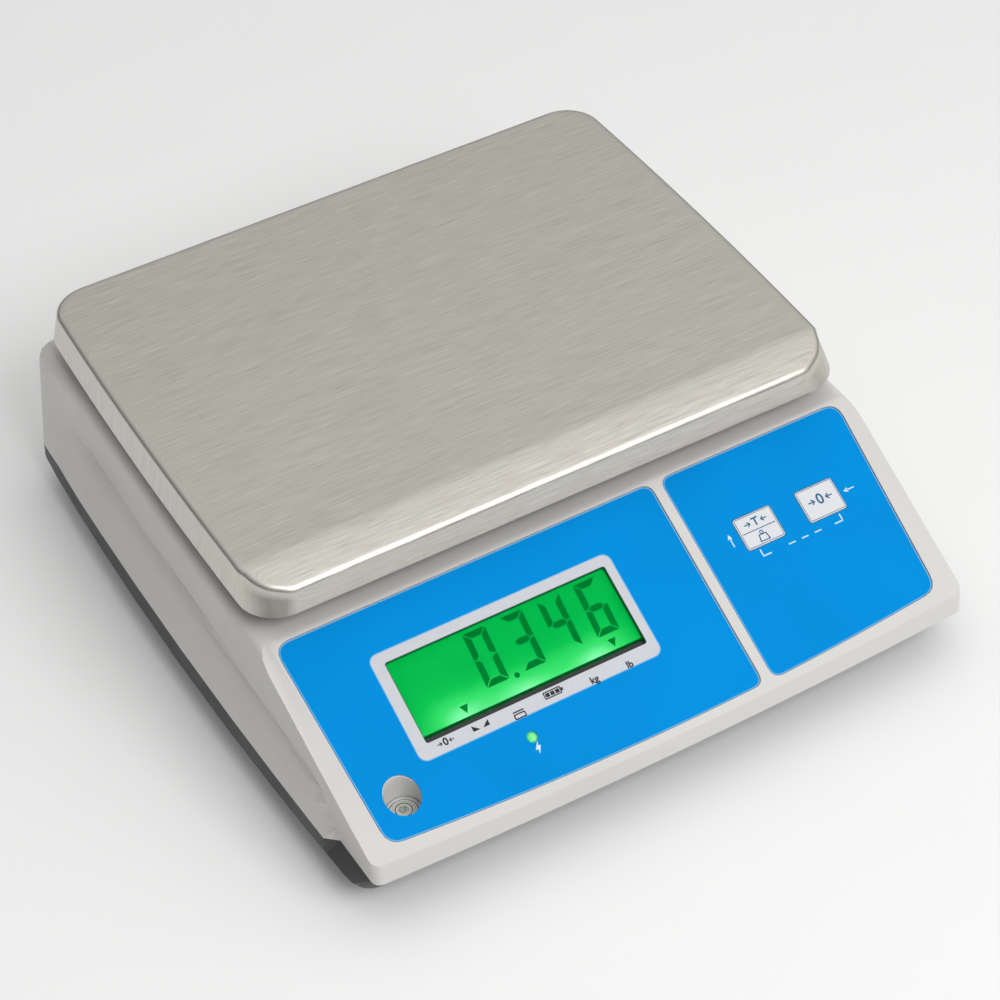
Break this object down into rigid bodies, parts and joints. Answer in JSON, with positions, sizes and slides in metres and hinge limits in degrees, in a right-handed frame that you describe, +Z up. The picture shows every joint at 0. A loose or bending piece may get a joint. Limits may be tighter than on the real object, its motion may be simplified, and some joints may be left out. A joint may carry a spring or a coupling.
{
  "type": "bench scale",
  "caption": "Bench weighing scale with a lift-off stainless pan, sloping blue fascia with a green LCD, tare and zero keys, level vial and screw feet.",
  "frame": {"origin": "on the bench under the middle of the scale", "axes": "+Z up, +Y from the display towards the back, +X to the right of someone facing the display"},
  "size_m": [0.3324, 0.3402, 0.1098],
  "materials": {
    "stainless": "brushed along the width",
    "cast_alloy": "cast and machined",
    "plated_steel": "zinc plated",
    "zinc_sheet": "zinc plated sheet",
    "light_shell": "fine moulded grain",
    "dark_base": "fine moulded grain",
    "blue_film": "printed polyester film",
    "key_pad": "satin",
    "black_plastic": "satin",
    "rubber": "matte",
    "circuit_board": "solder mask",
    "clear_window": "clear, polished",
    "lcd_green": "glass over a green backlight",
    "lamp_lens": "lit pale green",
    "vial_glass": "polished",
    "battery_case": "moulded",
    "grey_cable": "matte sheath",
    "red_cable": "matte sheath"
  },
  "bodies": {
    "housing": {"load_cell": "cast_alloy", "cell_spacer": "cast_alloy", "level_vial": "cast_alloy", "cell_screw_1": "plated_steel", "cell_screw_2": "plated_steel", "overload_stop": "plated_steel", "chassis_plate": "zinc_sheet", "top_housing": "light_shell", "bottom_housing": "dark_base", "display_label": "blue_film", "keypad_label": "blue_film", "lcd_backlight": "key_pad", "tare_switch": "black_plastic", "zero_switch": "black_plastic", "switch_frame": "black_plastic", "power_inlet": "black_plastic", "keypad_board": "circuit_board", "display_board": "circuit_board", "main_board": "circuit_board", "lcd_window": "clear_window", "lcd_panel": "lcd_green", "charge_led": "lamp_lens", "level_vial_glass": "vial_glass", "battery": "battery_case", "load_cell_cable": "grey_cable", "battery_lead_black": "grey_cable", "display_cable": "grey_cable", "switch_lead": "grey_cable", "inlet_lead": "grey_cable", "battery_lead_red": "red_cable", "foot_nut_front_left": "plated_steel", "foot_nut_front_right": "plated_steel", "foot_nut_rear_left": "plated_steel", "foot_nut_rear_right": "plated_steel", "housing_screw_1": "plated_steel", "housing_screw_2": "plated_steel", "housing_screw_3": "plated_steel", "housing_screw_4": "plated_steel"},
    "weigh_frame": {"pan_spider": "cast_alloy", "cell_riser": "cast_alloy", "spider_screw_1": "plated_steel", "spider_screw_2": "plated_steel", "pan_bush_front_left": "rubber", "pan_bush_front_right": "rubber", "pan_bush_rear_left": "rubber", "pan_bush_rear_right": "rubber"},
    "pan_tray": {"pan": "stainless"},
    "tare_button": {"tare_key": "key_pad"},
    "zero_button": {"zero_key": "key_pad"},
    "rocker": {"power_rocker": "black_plastic"},
    "door": {"battery_door": "dark_base"},
    "foot_front_left": {"foot_pad_front_left": "rubber"},
    "stud_front_left": {"foot_stud_front_left": "plated_steel"},
    "foot_front_right": {"foot_pad_front_right": "rubber"},
    "stud_front_right": {"foot_stud_front_right": "plated_steel"},
    "foot_rear_left": {"foot_pad_rear_left": "rubber"},
    "stud_rear_left": {"foot_stud_rear_left": "plated_steel"},
    "foot_rear_right": {"foot_pad_rear_right": "rubber"},
    "stud_rear_right": {"foot_stud_rear_right": "plated_steel"}
  },
  "joints": [
    {"name": "load_deflection", "type": "slide", "parent": "housing", "child": "weigh_frame", "axis": [0, 0, -1], "range_m": [0, 0.0005], "stiffness_N_per_m": 294000, "springref_m": -0.00005},
    {"name": "pan_lift", "type": "slide", "parent": "weigh_frame", "child": "pan_tray", "axis": [0, 0, 1], "range_m": [0, 0.03]},
    {"name": "tare_press", "type": "slide", "parent": "housing", "child": "tare_button", "axis": [0, 0.4289, -0.9033], "range_m": [0, 0.0004], "stiffness_N_per_m": 1500, "springref_m": -0.00005},
    {"name": "zero_press", "type": "slide", "parent": "housing", "child": "zero_button", "axis": [0, 0.4289, -0.9033], "range_m": [0, 0.0004], "stiffness_N_per_m": 1500, "springref_m": -0.00005},
    {"name": "rocker_tip", "type": "hinge", "parent": "housing", "child": "rocker", "pos_m": [0.092, 0.1664, 0.052], "axis": [1, 0, 0], "range_deg": [-14, 0]},
    {"name": "door_slide", "type": "slide", "parent": "housing", "child": "door", "axis": [0, 1, 0], "range_m": [0, 0.012]},
    {"name": "foot_drop_front_left", "type": "slide", "parent": "housing", "child": "foot_front_left", "axis": [0, 0, -1], "range_m": [0, 0.008]},
    {"name": "foot_turn_front_left", "type": "hinge", "parent": "foot_front_left", "child": "stud_front_left", "pos_m": [-0.136, -0.126, 0], "axis": [0, 0, -1], "range_deg": [0, 2310]},
    {"name": "foot_drop_front_right", "type": "slide", "parent": "housing", "child": "foot_front_right", "axis": [0, 0, -1], "range_m": [0, 0.008]},
    {"name": "foot_turn_front_right", "type": "hinge", "parent": "foot_front_right", "child": "stud_front_right", "pos_m": [0.136, -0.126, 0], "axis": [0, 0, -1], "range_deg": [0, 2310]},
    {"name": "foot_drop_rear_left", "type": "slide", "parent": "housing", "child": "foot_rear_left", "axis": [0, 0, -1], "range_m": [0, 0.008]},
    {"name": "foot_turn_rear_left", "type": "hinge", "parent": "foot_rear_left", "child": "stud_rear_left", "pos_m": [-0.136, 0.138, 0], "axis": [0, 0, -1], "range_deg": [0, 2310]},
    {"name": "foot_drop_rear_right", "type": "slide", "parent": "housing", "child": "foot_rear_right", "axis": [0, 0, -1], "range_m": [0, 0.008]},
    {"name": "foot_turn_rear_right", "type": "hinge", "parent": "foot_rear_right", "child": "stud_rear_right", "pos_m": [0.136, 0.138, 0], "axis": [0, 0, -1], "range_deg": [0, 2310]}
  ],
  "couplings": [
    {"joint": "foot_turn_front_left", "follows": "foot_drop_front_left", "rad_per_m": 5026.5},
    {"joint": "foot_turn_front_right", "follows": "foot_drop_front_right", "rad_per_m": 5026.5},
    {"joint": "foot_turn_rear_left", "follows": "foot_drop_rear_left", "rad_per_m": 5026.5},
    {"joint": "foot_turn_rear_right", "follows": "foot_drop_rear_right", "rad_per_m": 5026.5}
  ]
}
